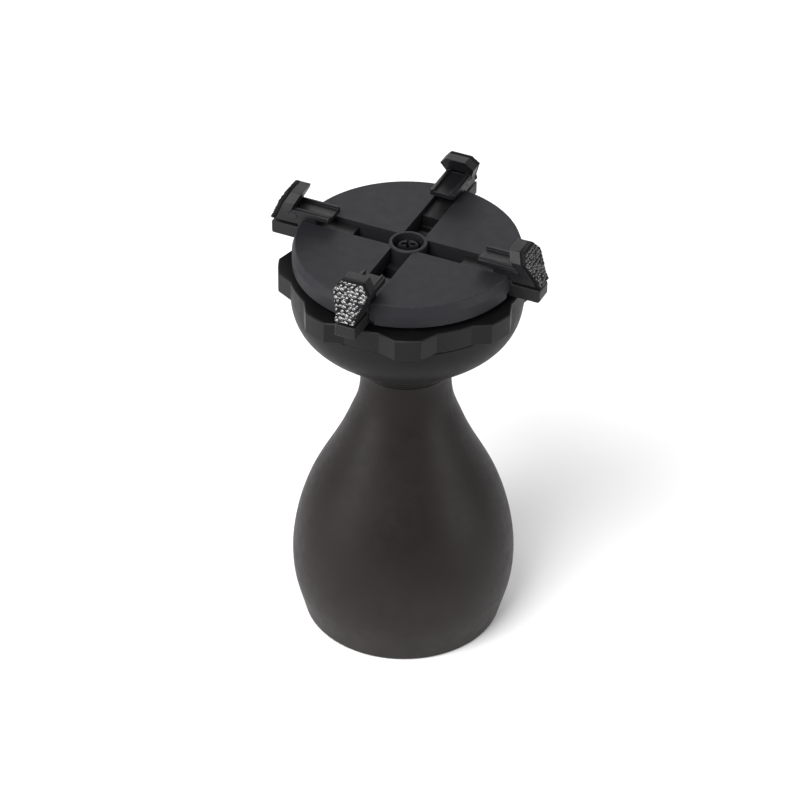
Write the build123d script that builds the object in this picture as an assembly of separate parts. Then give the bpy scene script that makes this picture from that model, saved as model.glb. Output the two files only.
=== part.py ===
from build123d import *
import os
import math

os.makedirs("parts", exist_ok=True)

# ---------------------------------------------------------------------------
# Hand-held work holder: a pear-shaped grip carrying a four-jaw scroll chuck.
# Millimetres, +Z up, origin at the centre of the base on the surface it
# stands on.  Jaws slide along +X, +Y, -X and -Y.
# ---------------------------------------------------------------------------

# Heights
Z_PLATE = 118.0        # top face of the guide disc
Z_STEP = 117.65        # foot of the small step round the plateau
Z_BEVEL = 115.75       # the rim slopes from the step down to here
Z_DISC_BOT = 111.9     # underside of the guide disc
Z_RING_TOP = 110.45    # adjusting ring
Z_RING_BOT = 104.42
Z_BOWL_TOP = 104.2     # rim of the head bowl
Z_SEAM = 80.5          # joint between the grip and the head bowl
Z_WEB_LO = 62.0        # web across the neck that the neck bolt clamps
Z_WEB_HI = 66.5
Z_RIM = 0.2            # bottom edge of the grip, held off the table by the foot pad

# Guide disc
R_DISC = 29.9
R_PLATEAU = 29.1
SLOT_HALF = 3.0        # radial slots
POCKET_HALF = 4.4      # undercut below each slot, for the slider's flange
Z_POCKET = 113.5       # top of the undercut
POCKET_IN = 6.55       # the undercut stops short of the hub
R_BOSS = 5.0
Z_BOSS = 118.25
R_HUB = 6.5
Z_HUB_TOP = 113.2
Z_POST_TOP = 103.4     # top of the bowl's post, where the hub seats
R_SCREW_POCKET = 4.15
Z_SCREW_POCKET = 114.8
SQUARE = 6.0           # square tang on the post, keys the disc against turning

# Adjusting ring
N_LUGS = 8
LUG_PHASE = 24.8       # degrees, direction of the first lug
R_LUG = 33.5
R_RECESS = 31.0
LUG_HALF = 5.7         # degrees
BEVEL_END = 13.7       # degrees
R_RING_BORE = 27.7
Z_RING_FLOOR = 106.4

# Scroll
PITCH = 4.0            # radial feed of the jaws for one turn
R_SCROLL = 27.4
Z_SCROLL_LO = 106.45
Z_SCROLL_HI = 109.9
Z_RIDGE = 111.6
RIDGE_HALF = 0.9
FIRST_TOOTH = 15.9     # radius of the first tooth of the jaw on +X
TOOTH_HALF_R = 0.75
TOOTH_HALF_T = 1.6
Z_TOOTH = 110.15
R_BUSH_IN = 6.55
R_BUSH_OUT = 7.6

# Jaws, in their own directions: u outwards, v sideways
SLIDER_IN = 15.2
SLIDER_STEP = 30.2
SLIDER_OUT = 37.9
SLIDER_HALF = 2.8
Z_SLIDER_TOP = 116.6
Z_SLIDER_LO = 113.35
FLANGE_IN = 15.0
FLANGE_OUT = 28.5
FLANGE_HALF = 4.2
Z_FLANGE_LO = 111.75
BLOCK_TOP = 115.6
BLOCK_LO = 112.0
BAR_IN = 20.8
BAR_HALF = 3.45
BAR_LOW = 1.5          # heights from here on are above the guide disc
BAR_FLOOR = 2.8
BAR_LEDGE = 3.08
BAR_RIDGE = 3.5
RIDGE_IN = 2.15
RIDGE_OUT = 2.75
PEDESTAL_IN = 25.0     # the bar stands on the slider from here outwards
HEAD_CLEAR = 0.15      # what hangs below this height has to pass through the slot
HEAD_TOP = 8.1
HEAD_TIP = 5.6
HEAD_LOW = -1.5
HEAD_TOP_IN = 29.1
HEAD_TOP_OUT = 33.7
HEAD_SLOPE = 0.49      # outward run for each millimetre down
HEAD_TOP_HALF = 2.85
HEAD_TIP_HALF = 4.85
HEAD_LOW_HALF = 2.8
SKIRT_IN = 30.6
PAD_T = 1.6
JAW_SCREW_U = 26.5

# Outer profile, (height, radius)
GRIP_OUT = [(0.6, 26.95), (4, 27.85), (10, 29.4), (18, 30.22), (26, 29.62), (34, 27.9),
            (42, 25.1), (50, 21.1), (58, 17.15), (64, 14.75), (69, 12.95), (73.5, 12.2),
            (77.2, 12.1), (Z_SEAM - 0.22, 12.6)]
GRIP_IN = [(3.5, 25.1), (10, 26.7), (18, 27.6), (26, 27.05), (34, 25.35), (42, 22.55),
           (50, 18.6), (56, 15.4), (60, 12.4), (Z_WEB_LO, 9.0)]
SEAM_R = 12.2          # bottom of the fine groove where the two meet
BOWL_OUT = [(Z_SEAM + 0.22, 12.85), (83, 15.0), (86, 18.45), (89, 22.05), (92, 25.65), (95, 28.3),
            (98, 29.7), (101, 30.3), (Z_BOWL_TOP - 0.4, 30.45)]
BOWL_IN = [(87.5, 16.4), (89, 18.6), (92, 22.3), (95, 25.1), (98, 26.7), (101, 27.4),
           (Z_BOWL_TOP, 27.8)]


def rz(points):
    """(height, radius) pairs as points of the XZ half plane."""
    return [(r, 0, z) for z, r in points]


def revolved(edges):
    return revolve(make_face(Wire(edges)), Axis.Z)


def chain(*pts):
    """Straight edges through (radius, height) pairs."""
    p = [(r, 0, z) for r, z in pts]
    return [Line(a, b).edge() for a, b in zip(p[:-1], p[1:])]


def ring_solid(r_out, r_in, z0, z1):
    return revolved(chain((r_in, z0), (r_out, z0), (r_out, z1), (r_in, z1), (r_in, z0)))


def cyl(r, z0, z1, x=0.0, y=0.0):
    return Pos(x, y, (z0 + z1) / 2) * Cylinder(r, z1 - z0)


def cone(r0, r1, z0, z1, x=0.0, y=0.0):
    return Pos(x, y, (z0 + z1) / 2) * Cone(r0, r1, z1 - z0)


def block(x0, x1, y0, y1, z0, z1):
    return Pos((x0 + x1) / 2, (y0 + y1) / 2, (z0 + z1) / 2) * Box(x1 - x0, y1 - y0, z1 - z0)


def save(name, shape):
    solids = [s for s in shape.solids()]
    out = solids[0] if len(solids) == 1 else Compound(children=solids)
    out.label = name
    export_step(out, "parts/" + name + ".step")
    print(name, len(solids), round(sum(s.volume for s in solids), 1))


# ---------------------------------------------------------------------------
# Grip: hollow pear-shaped shell, open at the bottom for the ballast and cover
# ---------------------------------------------------------------------------
outer_curve = Spline(*rz(GRIP_OUT), tangents=[(0.30, 0, 1), (0.35, 0, 1)]).edge()
grip = revolved(
    [outer_curve]
    + chain((GRIP_OUT[-1][1], GRIP_OUT[-1][0]), (SEAM_R, Z_SEAM), (0, Z_SEAM), (0, Z_RIM),
            (26.4, Z_RIM), (26.75, 0.3), (26.95, 0.6))
)
inner_curve = Spline(*rz(GRIP_IN)).edge()
cavity = revolved(
    [inner_curve] + chain((9.0, Z_WEB_LO), (0, Z_WEB_LO), (0, 3.5), (25.1, 3.5))
)
inset_curve = Spline(*rz([(z, r - 1.3) for z, r in GRIP_OUT[:9]])).edge()
inset = revolved(
    [inset_curve] + chain((GRIP_OUT[8][1] - 1.3, 58), (0, 58), (0, 0.6), (GRIP_OUT[0][1] - 1.3, 0.6))
)
shell = grip - cavity - cyl(24.1, Z_RIM - 1, 3.6) - cyl(2.7, 60, 70)
BOSS_R = 19.0
for k in range(3):
    a = 30 + 120 * k
    boss = cyl(3.0, 3.55, 17.0, BOSS_R) + block(BOSS_R, 29.5, -1.1, 1.1, 3.55, 15.0)
    boss = (boss & inset) - cyl(1.25, 3.0, 14.0, BOSS_R)
    shell = shell + Rot(0, 0, a) * boss
# Socket for the bowl's spigot, with a flat that keys it
socket = cyl(8.2, Z_WEB_HI, Z_SEAM + 1) & block(-9, 9, -9, 6.9, Z_WEB_HI, Z_SEAM + 1)
shell = shell - socket
save("grip_shell", shell)

# Base cover, its screws, the rubber foot ring and the ballast disc
cover = cyl(24.0, 0.5, 3.5) - ring_solid(23.1, 14.9, 0.0, 1.2)
foot = ring_solid(23.0, 15.0, 0.0, 1.2)
screws = None
for k in range(3):
    a = 30 + 120 * k
    csk = cone(2.75, 1.55, 1.2, 2.45, BOSS_R) + cyl(1.6, 2.4, 3.6, BOSS_R)
    cover = cover - Rot(0, 0, a) * csk
    s = cone(2.6, 1.3, 1.25, 2.45, BOSS_R) + cyl(1.2, 2.4, 12.5, BOSS_R)
    s = s - block(BOSS_R - 1.5, BOSS_R + 1.5, -0.3, 0.3, 1.0, 1.9) - block(
        BOSS_R - 0.3, BOSS_R + 0.3, -1.5, 1.5, 1.0, 1.9)
    s = Rot(0, 0, a) * s
    screws = s if screws is None else screws + s
save("base_cover", cover)
save("foot_ring", foot)
save("base_screws", screws)
ballast = chamfer(cyl(15.4, 3.55, 15.5).edges(), 0.6)
save("ballast_weight", ballast)

# ---------------------------------------------------------------------------
# Neck joint: bolt and washer below the web, brass insert in the bowl's spigot
# ---------------------------------------------------------------------------
save("neck_washer", ring_solid(5.6, 2.65, 60.8, Z_WEB_LO))
bolt = cyl(4.25, 55.8, 60.8) + cyl(2.45, 60.7, 77.0)
hexagon = extrude(Pos(0, 0, 55.0) * RegularPolygon(2.3, 6), 3.4)
save("neck_bolt", bolt - hexagon)
save("neck_insert", ring_solid(4.0, 2.5, 68.0, 78.0))

# ---------------------------------------------------------------------------
# Head bowl: cup above the neck, with a central post that carries the disc
# ---------------------------------------------------------------------------
bowl_curve = Spline(*rz(BOWL_OUT), tangents=[(0.35, 0, 1), (0.05, 0, 1)]).edge()
bowl = revolved(
    [bowl_curve]
    + chain((30.45, Z_BOWL_TOP - 0.4), (30.05, Z_BOWL_TOP), (0, Z_BOWL_TOP), (0, Z_SEAM), (SEAM_R, Z_SEAM),
            (12.85, Z_SEAM + 0.22))
)
bowl_in_curve = Spline(*rz(BOWL_IN)).edge()
bowl_cavity = revolved(
    [bowl_in_curve] + chain((27.8, Z_BOWL_TOP), (27.8, 106), (10.5, 106), (10.5, 87.5), (16.4, 87.5))
)
bowl = bowl - bowl_cavity - ring_solid(12.0, 0, Z_POST_TOP, 107)
spigot = cyl(8.1, Z_WEB_HI + 0.1, Z_SEAM + 0.5) & block(-9, 9, -9, 6.8, Z_WEB_HI, Z_SEAM + 0.5)
tang = block(-SQUARE / 2, SQUARE / 2, -SQUARE / 2, SQUARE / 2, Z_POST_TOP - 1, Z_POST_TOP + 3.0)
bowl = bowl + spigot + tang
bowl = bowl - cyl(4.0, 60, 78.0) - cyl(2.6, 77.9, 80.0)
bowl = bowl - cyl(2.2, 90.0, 108) - cyl(3.4, 92.0, 102.0)
# the insert's pocket is closed above by the tang's bore, filled back here
bowl = bowl + ring_solid(3.6, 2.2, 101.0, 102.2)
save("head_bowl", bowl)
save("centre_insert", ring_solid(3.4, 2.0, 92.0, 101.0))
save("thrust_washer", ring_solid(10.3, 6.7, Z_POST_TOP, 104.4))

# ---------------------------------------------------------------------------
# Guide disc: four radial slots with undercuts, boss for the centre screw and
# a hub below that locates the ring and keys onto the post
# ---------------------------------------------------------------------------
disc = revolved(
    chain((0, Z_DISC_BOT), (R_DISC - 0.3, Z_DISC_BOT), (R_DISC, Z_DISC_BOT + 0.3),
          (R_DISC, Z_BEVEL - 0.12), (R_DISC - 0.05, Z_BEVEL), (R_PLATEAU + 0.1, Z_STEP),
          (R_PLATEAU, Z_STEP), (R_PLATEAU, Z_PLATE - 0.15), (R_PLATEAU - 0.15, Z_PLATE),
          (0, Z_PLATE), (0, Z_DISC_BOT))
)
for k in range(4):
    a = 90 * k
    disc = disc - Rot(0, 0, a) * block(0, 32, -SLOT_HALF, SLOT_HALF, Z_DISC_BOT - 1, Z_PLATE + 1)
    disc = disc - Rot(0, 0, a) * block(POCKET_IN, 32, -POCKET_HALF, POCKET_HALF, Z_DISC_BOT - 1, Z_POCKET)
disc = disc + cyl(R_HUB, Z_POST_TOP, Z_HUB_TOP) + revolved(
    chain((0, Z_HUB_TOP - 0.5), (R_BOSS, Z_HUB_TOP - 0.5), (R_BOSS, Z_BOSS - 0.2),
          (R_BOSS - 0.2, Z_BOSS), (0, Z_BOSS), (0, Z_HUB_TOP - 0.5))
)
disc = disc - cyl(R_SCREW_POCKET, Z_SCREW_POCKET, Z_BOSS + 1) - cyl(2.2, 100, Z_BOSS)
socket_sq = block(-SQUARE / 2 - 0.05, SQUARE / 2 + 0.05, -SQUARE / 2 - 0.05, SQUARE / 2 + 0.05,
                  Z_POST_TOP - 1, Z_POST_TOP + 3.2)
disc = disc - socket_sq
save("guide_disc", disc)

save("centre_washer", ring_solid(3.9, 2.15, Z_SCREW_POCKET, 115.4))
head = revolved(
    [Spline((3.3, 0, 116.3), (2.7, 0, 117.25), (1.4, 0, 117.56), (0, 0, 117.6)).edge()]
    + chain((0, 117.6), (0, 115.4), (3.3, 115.4), (3.3, 116.3))
)
cross = block(-0.45, 0.45, -1.85, 1.85, 116.35, 118) + block(-1.85, 1.85, -0.45, 0.45, 116.35, 118)
cross = cross & cone(1.1, 2.3, 116.35, 118)
save("centre_screw", head - Rot(0, 0, 20) * cross + cyl(1.95, 93.5, 115.5))

# ---------------------------------------------------------------------------
# Adjusting ring: castellated rim turned by the fingers, scroll plate inside it
# ---------------------------------------------------------------------------


def polar(r, deg):
    return (r * math.cos(math.radians(deg)), r * math.sin(math.radians(deg)))


outline = []
step = 360 / N_LUGS
for k in range(N_LUGS):
    c = LUG_PHASE + step * k
    outline.append(Line(polar(R_RECESS, c - BEVEL_END), polar(R_LUG, c - LUG_HALF)).edge())
    outline.append(ThreePointArc(polar(R_LUG, c - LUG_HALF), polar(R_LUG, c), polar(R_LUG, c + LUG_HALF)).edge())
    outline.append(Line(polar(R_LUG, c + LUG_HALF), polar(R_RECESS, c + BEVEL_END)).edge())
    outline.append(ThreePointArc(polar(R_RECESS, c + BEVEL_END), polar(R_RECESS, c + step / 2),
                                 polar(R_RECESS, c + step - BEVEL_END)).edge())
ring = extrude(Pos(0, 0, Z_RING_BOT) * make_face(Wire(outline)), Z_RING_TOP - Z_RING_BOT)
upright = [e for e in ring.edges() if abs(e.tangent_at(0.5).Z) > 0.99]
ring = fillet(upright, 0.3)
ring = chamfer([e for e in ring.edges() if abs(e.center().Z - Z_RING_TOP) < 0.01], 0.25)
ring = chamfer([e for e in ring.edges() if abs(e.center().Z - Z_RING_BOT) < 0.01], 0.25)
ring = ring - cyl(R_RING_BORE, Z_RING_FLOOR, Z_RING_TOP + 1) - cyl(R_BUSH_OUT + 0.02, 100, 108)

scroll = ring_solid(R_SCROLL, R_BUSH_OUT + 0.02, Z_SCROLL_LO, Z_SCROLL_HI)
# Archimedean ridge, centred half a pitch outside the groove that the teeth run in
TURN0, TURN1 = -0.15, 4.05
R_RIDGE0 = FIRST_TOOTH + PITCH / 2 - 2 * PITCH


def spiral(offset):
    n = int((TURN1 - TURN0) * 28)
    pts = []
    for i in range(n + 1):
        t = TURN0 + (TURN1 - TURN0) * i / n
        r = R_RIDGE0 + PITCH * t + offset
        pts.append((r * math.cos(2 * math.pi * t), r * math.sin(2 * math.pi * t)))
    return pts


inner_pts, outer_pts = spiral(-RIDGE_HALF), spiral(RIDGE_HALF)
ridge_face = make_face(Wire([
    Spline(*inner_pts).edge(), Line(inner_pts[-1], outer_pts[-1]).edge(),
    Spline(*outer_pts).edge(), Line(outer_pts[0], inner_pts[0]).edge()]))
scroll = scroll + extrude(Pos(0, 0, Z_SCROLL_HI - 0.4) * ridge_face, Z_RIDGE - Z_SCROLL_HI + 0.4)

ring_screws = None
for k in range(4):
    a = 45 + 90 * k
    hole = cone(2.05, 1.1, Z_RING_BOT - 0.01, Z_RING_BOT + 1.0, 18.0) + cyl(1.1, 104, 107, 18.0)
    ring = ring - Rot(0, 0, a) * hole
    scroll = scroll - Rot(0, 0, a) * cyl(1.02, 105, 109.3, 18.0)
    s = cone(1.95, 1.0, Z_RING_BOT + 0.05, Z_RING_BOT + 1.0, 18.0) + cyl(1.0, 105.3, 109.2, 18.0)
    s = s - block(17.0, 19.0, -0.22, 0.22, 104, 105.0) - block(17.78, 18.22, -1, 1, 104, 105.0)
    s = Rot(0, 0, a) * s
    ring_screws = s if ring_screws is None else ring_screws + s
save("adjusting_ring", ring)
save("scroll_plate", scroll)
save("ring_screws", ring_screws)
save("hub_bushing", ring_solid(R_BUSH_OUT, R_BUSH_IN, 104.5, Z_SCROLL_HI))

# ---------------------------------------------------------------------------
# Jaws.  Each is a slider with two scroll teeth, a stepped clamp head screwed
# to it from below, and a studded rubber pad on the head's outer face.
# ---------------------------------------------------------------------------


def prism_u(points, u0, u1):
    """Outline in (v, height above the disc), extruded outwards along u."""
    f = make_face(Polyline(*[(u0, v, Z_PLATE + w) for v, w in points], close=True))
    return extrude(f, u1 - u0, dir=(1, 0, 0))


def prism_v(points, half):
    """Outline in (u, height above the disc), extruded along v."""
    f = make_face(Polyline(*[(u, -half, Z_PLATE + w) for u, w in points], close=True))
    return extrude(f, 2 * half, dir=(0, 1, 0))


def slant(u, w):
    return u + HEAD_SLOPE * (HEAD_TOP - w)


HEX = [(-HEAD_TOP_HALF, HEAD_TOP), (HEAD_TOP_HALF, HEAD_TOP), (HEAD_TIP_HALF, HEAD_TIP),
       (HEAD_LOW_HALF, HEAD_CLEAR), (HEAD_LOW_HALF, HEAD_LOW), (-HEAD_LOW_HALF, HEAD_LOW),
       (-HEAD_LOW_HALF, HEAD_CLEAR), (-HEAD_TIP_HALF, HEAD_TIP)]

slider_common = block(SLIDER_IN, SLIDER_STEP, -SLIDER_HALF, SLIDER_HALF, Z_SLIDER_LO - 0.2, Z_SLIDER_TOP)
slider_common = slider_common + block(FLANGE_IN, FLANGE_OUT, -FLANGE_HALF, FLANGE_HALF, Z_FLANGE_LO, Z_SLIDER_LO)
end_block = block(SLIDER_STEP - 2, SLIDER_OUT, -SLIDER_HALF, SLIDER_HALF, BLOCK_LO, BLOCK_TOP)
end_block = chamfer([e for e in end_block.edges() if abs(e.center().X - SLIDER_OUT) < 0.01], 0.35)
slider_common = slider_common + end_block
slider_common = slider_common - cone(2.05, 1.1, Z_FLANGE_LO - 0.01, Z_FLANGE_LO + 1.0, JAW_SCREW_U) - cyl(
    1.1, 111, 118, JAW_SCREW_U)

BAR = [(3.3, BAR_LOW), (BAR_HALF, BAR_LOW + 0.2), (BAR_HALF, BAR_LEDGE - 0.15), (BAR_HALF - 0.15, BAR_LEDGE),
       (RIDGE_OUT, BAR_LEDGE), (RIDGE_OUT, BAR_RIDGE - 0.1), (RIDGE_OUT - 0.1, BAR_RIDGE),
       (RIDGE_IN + 0.1, BAR_RIDGE), (RIDGE_IN, BAR_RIDGE - 0.1), (RIDGE_IN, BAR_FLOOR)]
bar = prism_u(BAR + [(-v, w) for v, w in reversed(BAR)], BAR_IN, 32.5)
corner = (block(BAR_IN - 1, BAR_IN + 0.6, BAR_HALF - 0.6, BAR_HALF + 1, Z_PLATE, Z_PLATE + 5)
          - cyl(0.6, Z_PLATE - 1, Z_PLATE + 6, BAR_IN + 0.6, BAR_HALF - 0.6))
bar = bar - corner - mirror(corner, Plane.XZ)
side = [(HEAD_TOP_IN, HEAD_TOP), (HEAD_TOP_OUT - PAD_T, HEAD_TOP), (slant(HEAD_TOP_OUT - PAD_T, HEAD_LOW), HEAD_LOW),
        (SKIRT_IN, HEAD_LOW), (SKIRT_IN, 2.0), (slant(HEAD_TOP_IN, 2.0), 2.0)]
plate = prism_u(HEX, 28.0, 40.0) & prism_v(side, 6.0)
neck = block(PEDESTAL_IN, SKIRT_IN + 0.5, -SLIDER_HALF, SLIDER_HALF, Z_SLIDER_TOP, Z_PLATE + BAR_LOW + 0.3)
neck = neck - block(SLIDER_STEP, 40, -4, 4, Z_SLIDER_TOP - 1, Z_PLATE + HEAD_LOW)
jaw_head = bar + neck + plate
jaw_head = jaw_head - cyl(1.02, Z_SLIDER_TOP - 1, Z_PLATE + 2.1, JAW_SCREW_U)
pad_side = [(HEAD_TOP_OUT - PAD_T, HEAD_TOP), (HEAD_TOP_OUT, HEAD_TOP), (slant(HEAD_TOP_OUT, HEAD_LOW), HEAD_LOW),
            (slant(HEAD_TOP_OUT - PAD_T, HEAD_LOW), HEAD_LOW)]
pad = prism_u(HEX, 28.0, 40.0) & prism_v(pad_side, 6.0)
jaw_screw = cone(1.95, 1.0, Z_FLANGE_LO + 0.05, Z_FLANGE_LO + 1.0, JAW_SCREW_U) + cyl(
    1.0, Z_FLANGE_LO + 0.9, Z_PLATE + 2.0, JAW_SCREW_U)
jaw_screw = jaw_screw - block(JAW_SCREW_U - 1, JAW_SCREW_U + 1, -0.22, 0.22, 111, Z_FLANGE_LO + 0.6) - block(
    JAW_SCREW_U - 0.22, JAW_SCREW_U + 0.22, -1, 1, 111, Z_FLANGE_LO + 0.6)

for k in range(4):
    turn = Rot(0, 0, 90 * k)
    teeth = None
    for m in range(2):
        r = FIRST_TOOTH + k * PITCH / 4 + m * PITCH
        t = block(r - TOOTH_HALF_R, r + TOOTH_HALF_R, -TOOTH_HALF_T, TOOTH_HALF_T, Z_TOOTH, Z_FLANGE_LO + 0.3)
        teeth = t if teeth is None else teeth + t
    n = str(k + 1)
    save("jaw_slider_" + n, turn * (slider_common + teeth))
    save("jaw_head_" + n, turn * jaw_head)
    save("grip_pad_" + n, turn * pad)
    save("jaw_screw_" + n, turn * jaw_screw)
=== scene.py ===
import bpy
import bmesh
import math
import random
from mathutils import Matrix, Vector


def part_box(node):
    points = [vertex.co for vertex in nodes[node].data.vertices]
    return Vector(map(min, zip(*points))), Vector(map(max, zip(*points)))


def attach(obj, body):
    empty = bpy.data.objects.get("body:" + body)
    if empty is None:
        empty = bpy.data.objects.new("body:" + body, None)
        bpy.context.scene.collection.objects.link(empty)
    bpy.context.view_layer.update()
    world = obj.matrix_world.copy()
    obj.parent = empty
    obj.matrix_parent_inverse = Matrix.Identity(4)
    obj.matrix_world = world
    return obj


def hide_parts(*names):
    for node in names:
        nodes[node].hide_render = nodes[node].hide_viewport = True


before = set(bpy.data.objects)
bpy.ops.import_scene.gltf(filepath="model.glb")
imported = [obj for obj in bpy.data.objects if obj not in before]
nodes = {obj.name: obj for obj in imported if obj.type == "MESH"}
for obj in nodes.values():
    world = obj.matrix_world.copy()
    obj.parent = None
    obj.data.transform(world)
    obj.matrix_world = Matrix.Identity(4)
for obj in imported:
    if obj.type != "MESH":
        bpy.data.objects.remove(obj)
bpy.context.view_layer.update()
scene = bpy.context.scene
MM = 0.001


# ---------------------------------------------------------------------------
# Materials
# ---------------------------------------------------------------------------
class Net:
    """A small helper that adds nodes and joins their sockets."""

    def __init__(self, name):
        self.mat = bpy.data.materials.new(name)
        self.mat.use_nodes = True
        self.tree = self.mat.node_tree
        self.tree.nodes.clear()
        self.out = self.add("ShaderNodeOutputMaterial")
        self.bsdf = self.add("ShaderNodeBsdfPrincipled")
        self.link(self.bsdf.outputs[0], self.out.inputs["Surface"])
        self.coords = self.add("ShaderNodeTexCoord").outputs["Object"]

    def add(self, kind, **values):
        n = self.tree.nodes.new(kind)
        for k, v in values.items():
            setattr(n, k, v)
        return n

    def link(self, a, b):
        self.tree.links.new(a, b)

    def put(self, socket, value):
        if hasattr(value, "is_output") or isinstance(value, bpy.types.NodeSocket):
            self.link(value, socket)
        else:
            socket.default_value = value

    def noise(self, per_mm, detail=3.0, rough=0.55, coords=None, distortion=0.0):
        n = self.add("ShaderNodeTexNoise")
        n.inputs["Scale"].default_value = per_mm / MM
        n.inputs["Detail"].default_value = detail
        n.inputs["Roughness"].default_value = rough
        n.inputs["Distortion"].default_value = distortion
        self.link(coords or self.coords, n.inputs["Vector"])
        return n.outputs["Fac"]

    def voronoi(self, per_mm, feature="F1", coords=None, randomness=1.0):
        n = self.add("ShaderNodeTexVoronoi", feature=feature)
        n.inputs["Scale"].default_value = per_mm / MM
        n.inputs["Randomness"].default_value = randomness
        self.link(coords or self.coords, n.inputs["Vector"])
        return n.outputs["Distance"]

    def math(self, op, a, b=0.0, c=0.0, clamp=False):
        n = self.add("ShaderNodeMath", operation=op, use_clamp=clamp)
        self.put(n.inputs[0], a)
        self.put(n.inputs[1], b)
        self.put(n.inputs[2], c)
        return n.outputs[0]

    def remap(self, value, lo, hi, out_lo=0.0, out_hi=1.0, smooth=False):
        n = self.add("ShaderNodeMapRange", clamp=True)
        if smooth:
            n.interpolation_type = "SMOOTHSTEP"
        self.put(n.inputs["Value"], value)
        n.inputs["From Min"].default_value = lo
        n.inputs["From Max"].default_value = hi
        n.inputs["To Min"].default_value = out_lo
        n.inputs["To Max"].default_value = out_hi
        return n.outputs["Result"]

    def mix(self, fac, a, b, blend="MIX"):
        n = self.add("ShaderNodeMix", data_type="RGBA", blend_type=blend)
        self.put(n.inputs["Factor"], fac)
        for sock, v in ((n.inputs["A"], a), (n.inputs["B"], b)):
            pass
        ins = [s for s in n.inputs if s.type == "RGBA"]
        self.put(ins[0], a)
        self.put(ins[1], b)
        return [s for s in n.outputs if s.type == "RGBA"][0]

    def edges(self, radius_mm, samples=6):
        """1 on convex and concave corners within the radius, 0 on flat ground."""
        b = self.add("ShaderNodeBevel", samples=samples)
        b.inputs["Radius"].default_value = radius_mm * MM
        g = self.add("ShaderNodeNewGeometry")
        d = self.add("ShaderNodeVectorMath", operation="DOT_PRODUCT")
        self.link(b.outputs["Normal"], d.inputs[0])
        self.link(g.outputs["Normal"], d.inputs[1])
        return self.remap(d.outputs["Value"], 0.995, 0.86, 0.0, 1.0)

    def bump(self, height, strength, depth_mm, normal=None):
        n = self.add("ShaderNodeBump")
        n.inputs["Strength"].default_value = strength
        n.inputs["Distance"].default_value = depth_mm * MM
        self.link(height, n.inputs["Height"])
        if normal is not None:
            self.link(normal, n.inputs["Normal"])
        return n.outputs["Normal"]


def rgba(c, k=1.0):
    return (c[0] * k, c[1] * k, c[2] * k, 1.0)


def moulded(name, colour, rough, grain_mm=0.22, grain=0.35, wear_and_highlight=0.5, mottling=0.25, spec=0.5, dust=0.0, low_floor_reflection=None):
    """Moulded plastic with a fine etched grain, slight mottling and scuffs; corners are lighter in colour, partly from
    wear and partly as a painted edge highlight.
    """
    m = Net(name)
    big = m.noise(0.045, 4.0, 0.6)
    mid = m.noise(0.35, 3.0, 0.6)
    fine = m.noise(1.0 / grain_mm, 2.0, 0.5)
    cells = m.voronoi(0.8 / grain_mm)
    tone = m.math("ADD", m.remap(big, 0.3, 0.7, -mottling, mottling), m.remap(mid, 0.3, 0.7, -mottling * 0.5, mottling * 0.5))
    speck = m.remap(fine, 0.35, 0.7, -0.10, 0.14)
    gain = m.math("ADD", m.math("ADD", tone, speck), 1.0)
    col = m.mix(1.0, rgba(colour), (1, 1, 1, 1), "MULTIPLY")
    scale = m.add("ShaderNodeVectorMath", operation="SCALE")
    m.link(col, scale.inputs[0])
    m.link(gain, scale.inputs["Scale"])
    col = scale.outputs["Vector"]
    corner = m.edges(0.28)
    scuff = m.remap(m.noise(0.9, 4.0, 0.7), 0.45, 0.62)
    worn_and_highlit = m.math("MULTIPLY", corner, m.math("MULTIPLY_ADD", scuff, 0.6, 0.4))
    # Corners lighter in colour: partly worn plastic, partly a painted edge highlight.
    col = m.mix(m.math("MULTIPLY", worn_and_highlit, wear_and_highlight), col, rgba([c * 2.2 + 0.012 for c in colour]))
    if dust > 0:
        g = m.add("ShaderNodeNewGeometry")
        up = m.add("ShaderNodeSeparateXYZ")
        m.link(g.outputs["Normal"], up.inputs[0])
        lying = m.remap(up.outputs["Z"], 0.3, 0.95)
        spots = m.remap(m.noise(2.2, 5.0, 0.75), 0.56, 0.74)
        col = m.mix(m.math("MULTIPLY", m.math("MULTIPLY", lying, spots), dust), col, (0.20, 0.19, 0.19, 1))
    # Lighter towards the base: a painted reflection of the pale floor, broken up by noise.
    if low_floor_reflection:
        height = m.add("ShaderNodeSeparateXYZ")
        m.link(m.coords, height.inputs[0])
        floor_reflection = m.remap(height.outputs["Z"], low_floor_reflection[0] * MM, 0.0, 0.0, 1.0, smooth=True)
        floor_reflection = m.math("MULTIPLY", floor_reflection, m.remap(m.noise(0.12, 5.0, 0.65), 0.3, 0.7, 0.55, 1.0))
        col = m.mix(m.math("MULTIPLY", floor_reflection, low_floor_reflection[1]), col, (0.30, 0.28, 0.275, 1))
    m.link(col, m.bsdf.inputs["Base Color"])
    r = m.math("ADD", m.remap(mid, 0.3, 0.7, rough - 0.04, rough + 0.05), m.remap(big, 0.3, 0.7, -0.03, 0.03))
    r = m.math("SUBTRACT", r, m.math("MULTIPLY", worn_and_highlit, 0.10))
    m.link(r, m.bsdf.inputs["Roughness"])
    m.bsdf.inputs["Specular IOR Level"].default_value = spec
    m.bsdf.inputs["IOR"].default_value = 1.49
    h = m.math("ADD", m.math("MULTIPLY", fine, 0.7), m.math("MULTIPLY", cells, 0.5))
    n1 = m.bump(h, grain, 0.03)
    n2 = m.bump(big, 0.25, 0.12, n1)
    m.link(n2, m.bsdf.inputs["Normal"])
    return m.mat


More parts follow.
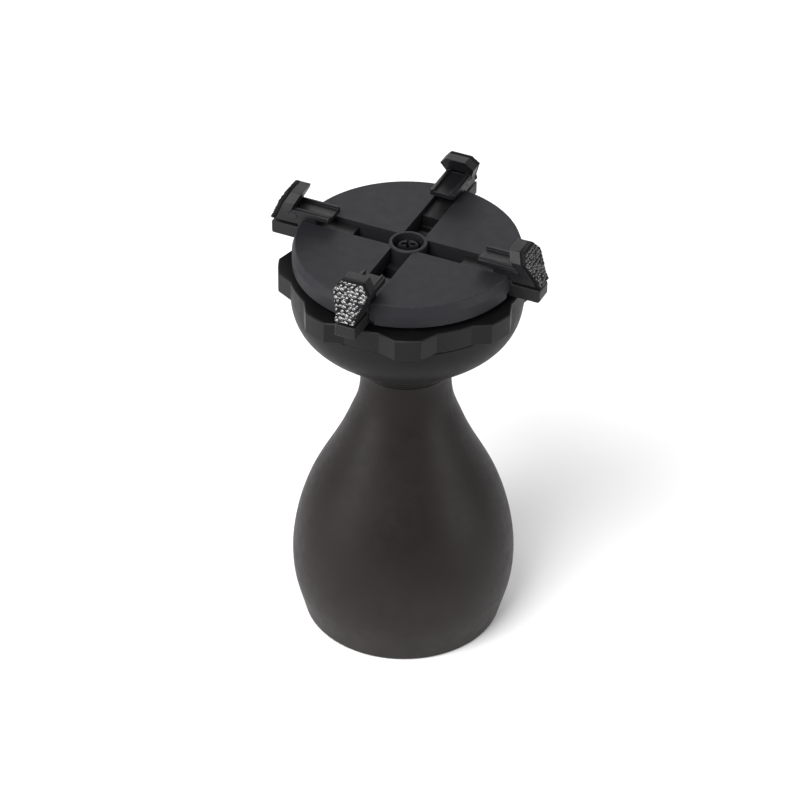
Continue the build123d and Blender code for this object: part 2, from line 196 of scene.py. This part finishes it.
def rubber(name, colour, rough, spec=0.5, per_mm=5.0, strength=0.3):
    m = Net(name)
    n = m.noise(per_mm, 4.0, 0.6)
    big = m.noise(0.2, 3.0)
    gain = m.remap(m.math("ADD", m.math("MULTIPLY", n, 0.5), m.math("MULTIPLY", big, 0.5)), 0.35, 0.65, 0.75, 1.3)
    scale = m.add("ShaderNodeVectorMath", operation="SCALE")
    scale.inputs[0].default_value = colour
    m.link(gain, scale.inputs["Scale"])
    m.link(scale.outputs["Vector"], m.bsdf.inputs["Base Color"])
    m.link(m.remap(n, 0.3, 0.7, rough - 0.06, rough + 0.08), m.bsdf.inputs["Roughness"])
    m.bsdf.inputs["Specular IOR Level"].default_value = spec
    m.link(m.bump(n, strength, 0.03), m.bsdf.inputs["Normal"])
    return m.mat


def metal(name, colour, rough, brushed=0.0, per_mm=1.2):
    m = Net(name)
    mapping = m.add("ShaderNodeMapping")
    mapping.inputs["Scale"].default_value = (1.0, 1.0, 1.0 + brushed)
    m.link(m.coords, mapping.inputs["Vector"])
    n = m.noise(per_mm * 4, 4.0, 0.6, mapping.outputs[0])
    big = m.noise(0.3, 3.0)
    scale = m.add("ShaderNodeVectorMath", operation="SCALE")
    scale.inputs[0].default_value = colour
    m.link(m.remap(big, 0.3, 0.7, 0.82, 1.08), scale.inputs["Scale"])
    m.link(scale.outputs["Vector"], m.bsdf.inputs["Base Color"])
    m.bsdf.inputs["Metallic"].default_value = 1.0
    m.link(m.remap(n, 0.3, 0.7, rough - 0.07, rough + 0.1), m.bsdf.inputs["Roughness"])
    m.link(m.bump(n, 0.15, 0.02), m.bsdf.inputs["Normal"])
    return m.mat


# The grip's lighter base below 42 mm is a painted floor reflection.
# The wear values below lighten each part's corners: partly real wear, partly a painted edge highlight.
GRIP = moulded("grip_matte", (0.0092, 0.0072, 0.0070), 0.47, grain_mm=0.30, grain=0.22, wear_and_highlight=0.25, mottling=0.10, spec=0.106, low_floor_reflection=(42.0, 0.050))
BOWL = moulded("bowl_matte", (0.0056, 0.0050, 0.0049), 0.46, grain_mm=0.30, grain=0.22, wear_and_highlight=0.25, mottling=0.10, spec=0.132)
DISC = moulded("disc_matte", (0.0114, 0.0106, 0.0127), 0.56, grain_mm=0.20, grain=0.32, wear_and_highlight=0.95, mottling=0.06, spec=0.138, dust=0.03)
RING = moulded("ring_satin", (0.0030, 0.0030, 0.0033), 0.47, grain_mm=0.25, grain=0.30, wear_and_highlight=1.0, mottling=0.12, spec=0.170)
JAW = moulded("jaw_satin", (0.0058, 0.0058, 0.0066), 0.44, grain_mm=0.18, grain=0.30, wear_and_highlight=0.75, mottling=0.12, spec=0.190)
SLIDER = moulded("slider_satin", (0.0062, 0.0062, 0.0066), 0.47, grain_mm=0.18, grain=0.30, wear_and_highlight=0.55, mottling=0.12, spec=0.190)
# The scroll plate's pale grey, far lighter than the other plastics, is painted light that lifts the shade inside the
# slots.
SCROLL = moulded("scroll_satin", (0.0450, 0.0450, 0.0460), 0.50, grain_mm=0.25, grain=0.2, wear_and_highlight=0.3, mottling=0.15, spec=0.30)
COVER = moulded("cover_matte", (0.0072, 0.0072, 0.0072), 0.6, grain_mm=0.35, grain=0.5, wear_and_highlight=0.4, mottling=0.12, spec=0.216)
ACETAL = moulded("black_acetal", (0.0120, 0.0120, 0.0125), 0.32, grain_mm=0.5, grain=0.08, wear_and_highlight=0.2, mottling=0.06, spec=0.40)
PAD = rubber("pad_rubber", (0.0035, 0.0035, 0.0042), 0.13, 0.86, 5.0, 0.04)
# The valley rubber has a real matte finish, and its darker colour is painted shade in the hollows between the studs.
PAD_VALLEY_SHADED = rubber("pad_valley_shaded", (0.0022, 0.0022, 0.0030), 0.60, 0.10, 5.0, 0.08)
FOOT = rubber("foot_rubber", (0.014, 0.014, 0.014), 0.7, 0.3, 3.0, 0.5)
BLACK_STEEL = moulded("black_oxide", (0.0018, 0.0018, 0.0026), 0.34, grain_mm=0.30, grain=0.12, wear_and_highlight=0.20, mottling=0.2, spec=0.05)
STEEL = metal("zinc_steel", (0.58, 0.58, 0.59), 0.32, 2.0)
BRASS = metal("turned_brass", (0.74, 0.53, 0.22), 0.28, 0.0)
BALLAST = metal("pressed_iron", (0.22, 0.22, 0.225), 0.55, 0.0, 0.6)

LOOK = {
    "grip_shell": GRIP, "head_bowl": BOWL, "guide_disc": DISC, "adjusting_ring": RING,
    "scroll_plate": SCROLL, "base_cover": COVER, "foot_ring": FOOT, "ballast_weight": BALLAST,
    "hub_bushing": ACETAL, "thrust_washer": ACETAL, "centre_insert": BRASS, "neck_insert": BRASS,
    "neck_bolt": STEEL, "neck_washer": STEEL, "base_screws": STEEL, "ring_screws": STEEL,
    "centre_screw": BLACK_STEEL, "centre_washer": STEEL,
}
for k in range(1, 5):
    LOOK["jaw_head_%d" % k] = JAW
    LOOK["jaw_slider_%d" % k] = SLIDER
    LOOK["grip_pad_%d" % k] = PAD
    LOOK["jaw_screw_%d" % k] = STEEL
for name, ob in nodes.items():
    me = ob.data
    if not me.materials:
        me.materials.append(None)
    for i in range(len(me.materials)):
        me.materials[i] = LOOK[name]
        ob.material_slots[i].material = LOOK[name]


# ---------------------------------------------------------------------------
# Jaw heads and sliders: the same shapes with the soft edges of a moulding
# ---------------------------------------------------------------------------
def softened(node, piece_name, body, width_mm, angle=48.0):
    source = nodes[node]
    bm = bmesh.new()
    bm.from_mesh(source.data)
    bmesh.ops.remove_doubles(bm, verts=bm.verts, dist=0.002 * MM)
    bmesh.ops.dissolve_limit(bm, angle_limit=math.radians(1.0), verts=bm.verts, edges=bm.edges)
    bmesh.ops.recalc_face_normals(bm, faces=bm.faces)
    me = bpy.data.meshes.new(piece_name)
    bm.to_mesh(me)
    bm.free()
    me.materials.append(LOOK[node])
    ob = bpy.data.objects.new(piece_name, me)
    scene.collection.objects.link(ob)
    me.shade_smooth()
    bevel = ob.modifiers.new("edges", "BEVEL")
    bevel.width = width_mm * MM
    bevel.segments = 2
    bevel.limit_method = "ANGLE"
    bevel.angle_limit = math.radians(angle)
    bevel.use_clamp_overlap = False
    bevel.harden_normals = False
    normals = ob.modifiers.new("normals", "WEIGHTED_NORMAL")
    normals.keep_sharp = False
    normals.weight = 100
    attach(ob, body)
    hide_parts(node)
    return ob


for k in range(1, 5):
    softened("jaw_head_%d" % k, "soft_head_%d" % k, "jaw_%d" % k, 0.14)
    softened("jaw_slider_%d" % k, "soft_slider_%d" % k, "jaw_%d" % k, 0.12)

# ---------------------------------------------------------------------------
# Grip pads: a thin rubber plate on the slanted outer face of each head,
# covered in irregular domed studs
# ---------------------------------------------------------------------------
PAD_LO, PAD_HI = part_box("grip_pad_1")
PAD_Z_TOP, PAD_Z_LOW = PAD_HI[2] / MM, PAD_LO[2] / MM
PAD_IN_TOP = PAD_LO[0] / MM
PAD_SLOPE = 0.49
PAD_THICK = PAD_HI[0] / MM - PAD_SLOPE * (PAD_Z_TOP - PAD_Z_LOW) - PAD_IN_TOP
PAD_OUTLINE = [(0.0, 2.85), (2.5, 4.85), (7.95, 2.8), (9.6, 2.8)]   # millimetres down from the top, half width
SLOPE_LEN = math.sqrt(1.0 + PAD_SLOPE * PAD_SLOPE)


def pad_half(down):
    for (d0, h0), (d1, h1) in zip(PAD_OUTLINE, PAD_OUTLINE[1:]):
        if down <= d1:
            return h0 + (h1 - h0) * (down - d0) / (d1 - d0)
    return PAD_OUTLINE[-1][1]


def stud_field(seed, spacing=1.34):
    """Domed studs at jittered places, kept in a coarse grid so that near ones are found quickly."""
    rng = random.Random(seed)
    cells = {}
    s = -0.4
    row = 0
    while s < 11.6:
        v = -5.4 + (0.5 * spacing if row % 2 else 0.0)
        while v < 5.4:
            c = (v + rng.uniform(-0.30, 0.30), s + rng.uniform(-0.20, 0.20))
            radius = rng.uniform(0.46, 0.58)
            stretch = rng.uniform(1.15, 2.05)
            a = rng.uniform(-0.60, 0.60)
            height = rng.uniform(0.72, 1.0)
            key = (int(math.floor(c[0])), int(math.floor(c[1])))
            cells.setdefault(key, []).append((c, radius, stretch, math.cos(a), math.sin(a), height))
            v += spacing
        s += spacing * 0.74
        row += 1
    return cells


def stud_height(cells, v, s):
    best = 0.0
    i, j = int(math.floor(v)), int(math.floor(s))
    for di in (-1, 0, 1):
        for dj in (-1, 0, 1):
            for c, radius, stretch, ca, sa, height in cells.get((i + di, j + dj), ()):
                x, y = v - c[0], s - c[1]
                p = (x * ca + y * sa) / (radius * stretch)
                q = (-x * sa + y * ca) / radius
                d = p * p + q * q
                if d < 1.0:
                    best = max(best, height * (1.0 - d))
    return best


def grip_pad(k):
    cells = stud_field(40 + k)
    rows, cols = 104, 96
    spin = Matrix.Rotation(math.radians(90 * (k - 1)), 3, "Z")
    base = PAD_THICK - 0.30
    relief = 0.26
    verts, faces, studs, raised = [], [], [], []

    def place(down, v, t):
        u = PAD_IN_TOP + PAD_SLOPE * down + t
        return tuple(spin @ Vector((u, v, PAD_Z_TOP - down)) * MM)

    depth = PAD_Z_TOP - PAD_Z_LOW
    for i in range(rows + 1):
        down = 0.004 + (depth - 0.008) * i / rows
        half = pad_half(down) - 0.006
        for j in range(cols + 1):
            v = half * (2.0 * j / cols - 1.0)
            s = down * SLOPE_LEN
            rim = min(half - abs(v), s, (depth - down) * SLOPE_LEN)
            edge = min(1.0, rim / 0.18)
            plate = base * (0.72 + 0.28 * math.sqrt(max(0.0, 1.0 - (1.0 - edge) ** 2)))
            fade = min(1.0, max(0.0, (rim - 0.02) / 0.20)) * min(1.0, max(0.0, (s - 0.16) / 0.25))
            bump = fade * stud_height(cells, v, s)
            studs.append(bump)
            verts.append(place(down, v, plate + relief * bump))
    back = len(verts)
    for i in range(rows + 1):
        down = 0.004 + (depth - 0.008) * i / rows
        half = pad_half(down) - 0.006
        verts.append(place(down, -half, 0.012))
        verts.append(place(down, half, 0.012))

    def f(i, j):
        return i * (cols + 1) + j

    for i in range(rows):
        for j in range(cols):
            quad = (f(i, j), f(i + 1, j), f(i + 1, j + 1), f(i, j + 1))
            raised.append(sum(studs[n] for n in quad) > 4 * 0.30)
            faces.append(quad)
        l0, r0, l1, r1 = back + 2 * i, back + 2 * i + 1, back + 2 * i + 2, back + 2 * i + 3
        raised += [False, False, False]
        faces.append((l0, r0, r1, l1))
        faces.append((f(i, 0), l0, l1, f(i + 1, 0)))
        faces.append((f(i, cols), f(i + 1, cols), r1, r0))
    faces.append(tuple(f(0, j) for j in range(cols + 1)) + (back + 1, back))
    faces.append(tuple(f(rows, j) for j in range(cols, -1, -1)) + (back + 2 * rows, back + 2 * rows + 1))
    me = bpy.data.meshes.new("studded_pad_%d" % k)
    me.from_pydata(verts, [], faces)
    bm = bmesh.new()
    bm.from_mesh(me)
    bmesh.ops.recalc_face_normals(bm, faces=bm.faces)
    bm.to_mesh(me)
    bm.free()
    me.materials.append(PAD)
    me.materials.append(PAD_VALLEY_SHADED)
    # Faces low between the studs get the valley rubber: painted shade in the hollows, on a matte finish.
    for face, up in zip(me.polygons, raised + [False, False]):
        face.material_index = 0 if up else 1
    me.shade_smooth()
    ob = bpy.data.objects.new("studded_pad_%d" % k, me)
    scene.collection.objects.link(ob)
    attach(ob, "jaw_%d" % k)
    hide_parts("grip_pad_%d" % k)
    return ob


for k in range(1, 5):
    grip_pad(k)

# ---------------------------------------------------------------------------
# Stage: pale floor, soft lights, camera
# ---------------------------------------------------------------------------
floor_mesh = bpy.data.meshes.new("floor")
bm = bmesh.new()
bmesh.ops.create_grid(bm, x_segments=8, y_segments=8, size=4.0)
bm.to_mesh(floor_mesh)
bm.free()
floor = bpy.data.objects.new("floor", floor_mesh)
scene.collection.objects.link(floor)
f = Net("floor_pale")
f.bsdf.inputs["Base Color"].default_value = (0.80, 0.80, 0.80, 1)
f.bsdf.inputs["Roughness"].default_value = 0.9
f.bsdf.inputs["Specular IOR Level"].default_value = 0.1
floor_mesh.materials.append(f.mat)

WORLD = 0.55
LIGHTS = [
    # name, azimuth and elevation from the camera, distance, width, height, watts, aimed at
    ("key_front_left", -38, 48, 1.00, 0.66, 0.66, 14.5),
    ("back_low", 178, 24, 1.20, 1.20, 0.40, 4.7),
    ("low_left", -68, 7, 0.75, 0.44, 0.30, 3.6, (0, 0, 0.035)),
    ("low_right", 66, 7, 0.75, 0.38, 0.30, 2.8, (0, 0, 0.035)),
    ("fill_right", 58, 28, 1.00, 0.40, 0.90, 1.25),
]
world = bpy.data.worlds.new("studio")
scene.world = world
world.use_nodes = True
world.node_tree.nodes["Background"].inputs["Color"].default_value = (1.0, 1.0, 1.0, 1)
world.node_tree.nodes["Background"].inputs["Strength"].default_value = WORLD

CAM_AZ = 24.3
CAM_EL = 36.352
CAM_ROLL = 0.855
AIM = Vector((-1.492, 0.0, 67.70)) * MM
DIST = 902.27 * MM
turn = Matrix.Rotation(math.radians(CAM_AZ), 3, "Z")


def soft_box(name, azimuth, elevation, distance, width, height, watts, aim=(0, 0, 0.07)):
    """Azimuth is measured round from the camera, positive to its right."""
    a, e = math.radians(azimuth), math.radians(elevation)
    away = turn @ Vector((math.sin(a) * math.cos(e), -math.cos(a) * math.cos(e), math.sin(e)))
    data = bpy.data.lights.new(name, "AREA")
    data.shape = "RECTANGLE"
    data.size = width
    data.size_y = height
    data.energy = watts
    ob = bpy.data.objects.new(name, data)
    scene.collection.objects.link(ob)
    ob.location = Vector(aim) + away * distance
    ob.rotation_mode = "QUATERNION"
    ob.rotation_quaternion = (-away).to_track_quat("-Z", "Y")
    return ob


for row in LIGHTS:
    soft_box(*row)

cam_data = bpy.data.cameras.new("camera")
cam_data.sensor_width = 36.0
cam_data.lens = 3399.03 * 36.0 / 800.0
cam_data.clip_start = 0.05
cam_data.clip_end = 20.0
cam = bpy.data.objects.new("camera", cam_data)
scene.collection.objects.link(cam)
e, r = math.radians(CAM_EL), math.radians(CAM_ROLL)
fwd = Vector((0, math.cos(e), -math.sin(e)))
up = Vector((0, math.sin(e), math.cos(e)))
right = Vector((1, 0, 0))
right2 = right * math.cos(r) + up * math.sin(r)
up2 = -right * math.sin(r) + up * math.cos(r)
cam.location = turn @ (AIM - fwd * DIST)
basis = Matrix((turn @ right2, turn @ up2, turn @ -fwd)).transposed()
cam.rotation_mode = "QUATERNION"
cam.rotation_quaternion = basis.to_quaternion()
scene.camera = cam
scene.view_settings.view_transform = "Standard"
